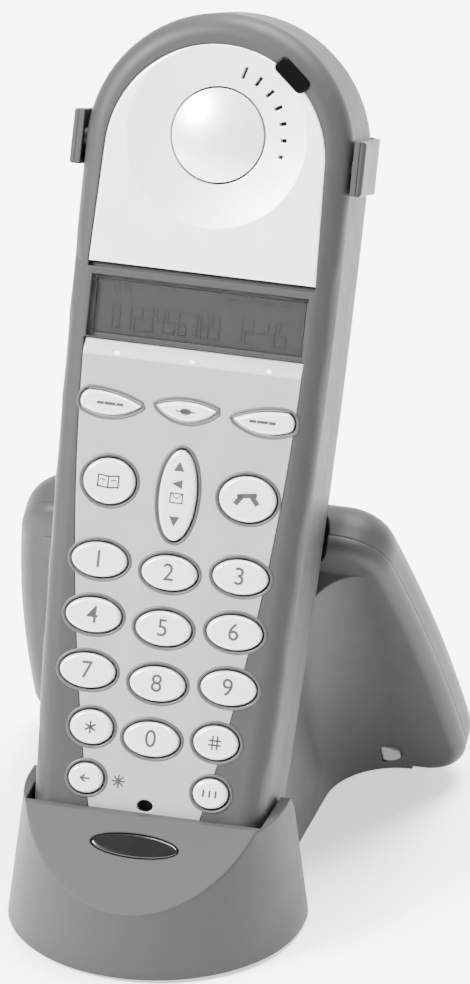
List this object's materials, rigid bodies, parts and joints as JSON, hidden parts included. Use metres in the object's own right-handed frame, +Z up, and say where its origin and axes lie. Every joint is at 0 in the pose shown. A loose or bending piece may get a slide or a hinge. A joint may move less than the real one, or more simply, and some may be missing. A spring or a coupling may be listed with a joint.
{
  "type": "cordless telephone",
  "caption": "Leaning cordless telephone handset with keypad, display and belt clip, standing in a desk charging base with a prop at its back",
  "frame": {"origin": "on the desk, under the middle of the whole object's box", "axes": "+Z up, the user at -Y, +X to the user's right"},
  "size_m": [0.0862, 0.1033, 0.164],
  "materials": {
    "casing_grey": "painted satin",
    "clip_grey": "satin",
    "clip_cap": "satin",
    "silver_panel": "silver lacquer",
    "keypad_silver": "silver lacquer",
    "key_silver": "silver, glossy",
    "smoked_window": "smoked, glossy",
    "display_window": "clear acrylic",
    "display_glass": "grey-green, even",
    "key_rubber": "silicone",
    "foot_rubber": "matt",
    "circuit_board": "solder mask",
    "antenna_metal": "tinned",
    "transducer_black": "satin",
    "tinned_steel": "tinned",
    "battery_sleeve": "shrink sleeve",
    "nickel_contact": "nickel plated",
    "zinc_screw": "zinc plated",
    "base_grey": "painted satin",
    "base_underside": "satin",
    "page_key_black": "glossy",
    "jack_black": "satin",
    "light_lens": "milky"
  },
  "bodies": {
    "base": {"base_front_shell": "base_grey", "base_rear_cover": "base_grey", "base_bottom_cover": "base_underside", "base_circuit_board": "circuit_board", "base_antennas": "antenna_metal", "line_jack": "jack_black", "power_jack": "jack_black", "power_light": "light_lens", "line_light": "light_lens", "base_screws": "zinc_screw", "rubber_feet": "foot_rubber"},
    "handset": {"handset_front_casing": "casing_grey", "handset_rear_casing": "casing_grey", "earpiece_panel": "silver_panel", "earpiece_dome": "silver_panel", "call_light_window": "smoked_window", "display_lens": "display_window", "display_module": "display_glass", "keypad_panel": "keypad_silver", "keypad_mat": "key_rubber", "handset_circuit_board": "circuit_board", "earpiece_speaker": "transducer_black", "microphone": "transducer_black", "ringer": "transducer_black", "radio_shield_can": "tinned_steel", "handset_antenna": "antenna_metal", "battery_cells": "battery_sleeve", "handset_charge_contacts": "nickel_contact", "handset_screws": "zinc_screw"},
    "battery_door": {"battery_door": "casing_grey"},
    "belt_clip": {"belt_clip": "clip_grey", "belt_clip_caps": "clip_cap"},
    "page_key": {"page_key": "page_key_black"},
    "charge_plunger_left": {"charge_plunger_left": "nickel_contact"},
    "charge_plunger_right": {"charge_plunger_right": "nickel_contact"},
    "key_1": {"key_1": "key_silver"},
    "key_2": {"key_2": "key_silver"},
    "key_3": {"key_3": "key_silver"},
    "key_4": {"key_4": "key_silver"},
    "key_5": {"key_5": "key_silver"},
    "key_6": {"key_6": "key_silver"},
    "key_7": {"key_7": "key_silver"},
    "key_8": {"key_8": "key_silver"},
    "key_9": {"key_9": "key_silver"},
    "key_0": {"key_0": "key_silver"},
    "key_star": {"key_star": "key_silver"},
    "key_hash": {"key_hash": "key_silver"},
    "key_recall": {"key_recall": "key_silver"},
    "key_intercom": {"key_intercom": "key_silver"},
    "key_phonebook": {"key_phonebook": "key_silver"},
    "key_talk": {"key_talk": "key_silver"},
    "key_soft_left": {"key_soft_left": "key_silver"},
    "key_soft_middle": {"key_soft_middle": "key_silver"},
    "key_soft_right": {"key_soft_right": "key_silver"},
    "key_navigate": {"key_navigate": "key_silver"}
  },
  "joints": [
    {"name": "handset_lift", "type": "slide", "parent": "base", "child": "handset", "axis": [0, 0.3987, 0.9171], "range_m": [0, 0.08]},
    {"name": "battery_door_slide", "type": "slide", "parent": "handset", "child": "battery_door", "axis": [0, 0.3987, 0.9171], "range_m": [0, 0.005]},
    {"name": "belt_clip_swing", "type": "hinge", "parent": "handset", "child": "belt_clip", "pos_m": [0, 0.02163, 0.13944], "axis": [1, 0, 0], "range_deg": [0, 6], "stiffness_Nm_per_rad": 0.02},
    {"name": "page_key_press", "type": "slide", "parent": "base", "child": "page_key", "axis": [0, 0.6428, -0.766], "range_m": [0, 0.0004], "stiffness_N_per_m": 600},
    {"name": "charge_plunger_left_sink", "type": "slide", "parent": "base", "child": "charge_plunger_left", "axis": [0, 0.3987, 0.9171], "range_m": [-0.001, 0], "stiffness_N_per_m": 300},
    {"name": "charge_plunger_right_sink", "type": "slide", "parent": "base", "child": "charge_plunger_right", "axis": [0, 0.3987, 0.9171], "range_m": [-0.001, 0], "stiffness_N_per_m": 300},
    {"name": "key_1_press", "type": "slide", "parent": "handset", "child": "key_1", "axis": [0, 0.9171, -0.3987], "range_m": [0, 0.0008], "stiffness_N_per_m": 600},
    {"name": "key_2_press", "type": "slide", "parent": "handset", "child": "key_2", "axis": [0, 0.9171, -0.3987], "range_m": [0, 0.0008], "stiffness_N_per_m": 600},
    {"name": "key_3_press", "type": "slide", "parent": "handset", "child": "key_3", "axis": [0, 0.9171, -0.3987], "range_m": [0, 0.0008], "stiffness_N_per_m": 600},
    {"name": "key_4_press", "type": "slide", "parent": "handset", "child": "key_4", "axis": [0, 0.9171, -0.3987], "range_m": [0, 0.0008], "stiffness_N_per_m": 600},
    {"name": "key_5_press", "type": "slide", "parent": "handset", "child": "key_5", "axis": [0, 0.9171, -0.3987], "range_m": [0, 0.0008], "stiffness_N_per_m": 600},
    {"name": "key_6_press", "type": "slide", "parent": "handset", "child": "key_6", "axis": [0, 0.9171, -0.3987], "range_m": [0, 0.0008], "stiffness_N_per_m": 600},
    {"name": "key_7_press", "type": "slide", "parent": "handset", "child": "key_7", "axis": [0, 0.9171, -0.3987], "range_m": [0, 0.0008], "stiffness_N_per_m": 600},
    {"name": "key_8_press", "type": "slide", "parent": "handset", "child": "key_8", "axis": [0, 0.9171, -0.3987], "range_m": [0, 0.0008], "stiffness_N_per_m": 600},
    {"name": "key_9_press", "type": "slide", "parent": "handset", "child": "key_9", "axis": [0, 0.9171, -0.3987], "range_m": [0, 0.0008], "stiffness_N_per_m": 600},
    {"name": "key_0_press", "type": "slide", "parent": "handset", "child": "key_0", "axis": [0, 0.9171, -0.3987], "range_m": [0, 0.0008], "stiffness_N_per_m": 600},
    {"name": "key_star_press", "type": "slide", "parent": "handset", "child": "key_star", "axis": [0, 0.9171, -0.3987], "range_m": [0, 0.0008], "stiffness_N_per_m": 600},
    {"name": "key_hash_press", "type": "slide", "parent": "handset", "child": "key_hash", "axis": [0, 0.9171, -0.3987], "range_m": [0, 0.0008], "stiffness_N_per_m": 600},
    {"name": "key_recall_press", "type": "slide", "parent": "handset", "child": "key_recall", "axis": [0, 0.9171, -0.3987], "range_m": [0, 0.0008], "stiffness_N_per_m": 600},
    {"name": "key_intercom_press", "type": "slide", "parent": "handset", "child": "key_intercom", "axis": [0, 0.9171, -0.3987], "range_m": [0, 0.0008], "stiffness_N_per_m": 600},
    {"name": "key_phonebook_press", "type": "slide", "parent": "handset", "child": "key_phonebook", "axis": [0, 0.9171, -0.3987], "range_m": [0, 0.0008], "stiffness_N_per_m": 600},
    {"name": "key_talk_press", "type": "slide", "parent": "handset", "child": "key_talk", "axis": [0, 0.9171, -0.3987], "range_m": [0, 0.0008], "stiffness_N_per_m": 600},
    {"name": "key_soft_left_press", "type": "slide", "parent": "handset", "child": "key_soft_left", "axis": [0, 0.9171, -0.3987], "range_m": [0, 0.0008], "stiffness_N_per_m": 600},
    {"name": "key_soft_middle_press", "type": "slide", "parent": "handset", "child": "key_soft_middle", "axis": [0, 0.9171, -0.3987], "range_m": [0, 0.0008], "stiffness_N_per_m": 600},
    {"name": "key_soft_right_press", "type": "slide", "parent": "handset", "child": "key_soft_right", "axis": [0, 0.9171, -0.3987], "range_m": [0, 0.0008], "stiffness_N_per_m": 600},
    {"name": "key_navigate_rock", "type": "hinge", "parent": "handset", "child": "key_navigate", "pos_m": [0, -0.0047, 0.08001], "axis": [1, 0, 0], "range_deg": [-3, 3], "stiffness_Nm_per_rad": 0.05}
  ]
}
